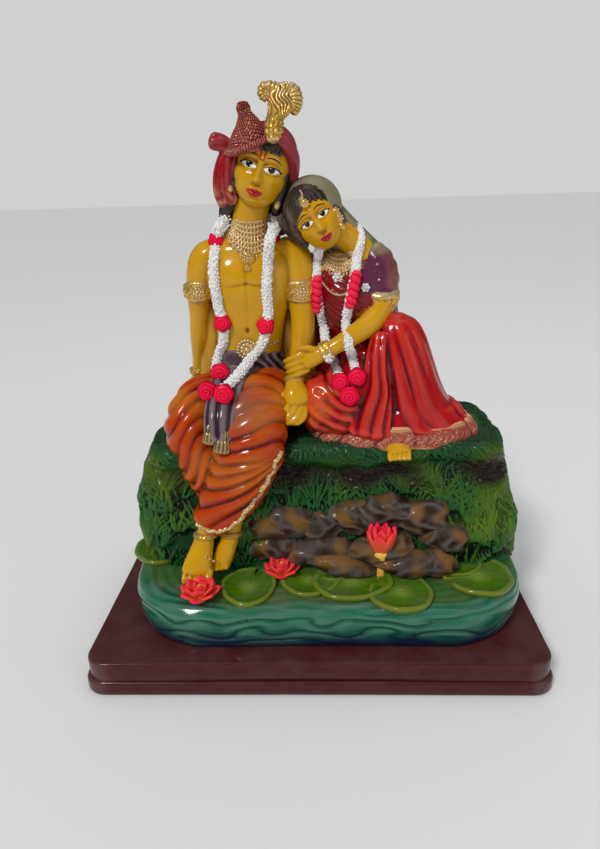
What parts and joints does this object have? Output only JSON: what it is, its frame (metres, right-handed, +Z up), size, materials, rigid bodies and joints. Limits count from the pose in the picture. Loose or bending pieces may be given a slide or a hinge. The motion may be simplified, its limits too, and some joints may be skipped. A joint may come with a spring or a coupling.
{
  "type": "figurine of a seated couple on a plinth",
  "caption": "Painted resin casting of a youth and a maiden seated on a grassy bank over a lily pond, on a moulded wooden plinth.",
  "frame": {"origin": "centre of the plinth's underside", "axes": "+Z up, -Y towards the viewer that the couple faces, +X to that viewer's right"},
  "size_m": [0.249, 0.154, 0.2988],
  "materials": {
    "painted_resin": "hand-painted casting with a clear gloss lacquer",
    "lacquered_wood": "dark maroon gloss lacquer"
  },
  "bodies": {
    "root": {"couple_casting": "painted_resin", "plinth": "lacquered_wood"}
  },
  "joints": []
}
